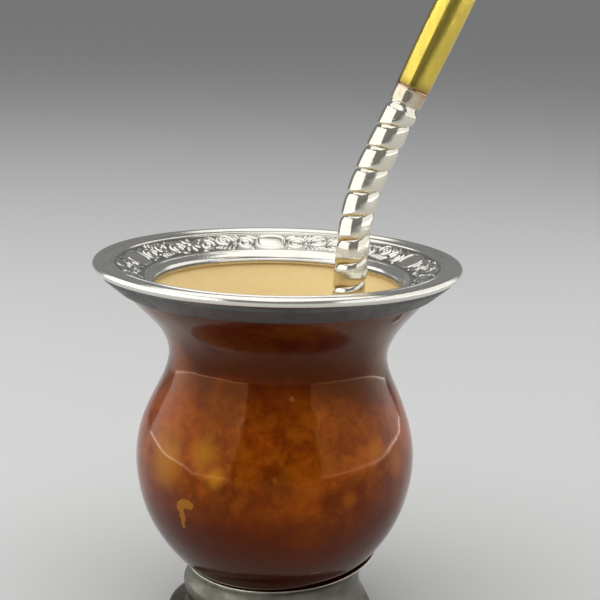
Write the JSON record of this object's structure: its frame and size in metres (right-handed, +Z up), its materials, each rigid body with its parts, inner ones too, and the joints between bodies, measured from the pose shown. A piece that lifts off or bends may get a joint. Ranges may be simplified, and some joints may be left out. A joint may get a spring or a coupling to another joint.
{
  "type": "mate cup",
  "caption": "Waisted gourd cup with a flat metal rim plate, a conical skirt and a waisted base collar, and a bent spiral drinking straw with a strainer standing in it.",
  "frame": {"origin": "on the cup's upright axis, at the underside of the foot", "axes": "+Z up the cup, +X across it towards the side on which the drinking straw leans, +Y to the cup's back"},
  "size_m": [0.1039, 0.09, 0.1903],
  "materials": {
    "lacquered_gourd": "glossy lacquer over mottled amber to dark red-brown",
    "rim_metal": "polished, with a low scroll relief on the band",
    "skirt_metal": "dull grey, brushed",
    "base_metal": "mottled, lightly tarnished, bright at the lip",
    "stem_metal": "polished",
    "mouthpiece_brass": "polished, finely pitted"
  },
  "bodies": {
    "root": {"gourd_shell": "lacquered_gourd", "rim_plate": "rim_metal", "rim_skirt": "skirt_metal", "base_ring": "base_metal", "straw_stem": "stem_metal", "straw_ferrule": "stem_metal", "straw_mouthpiece": "mouthpiece_brass", "strainer": "stem_metal"}
  },
  "joints": []
}
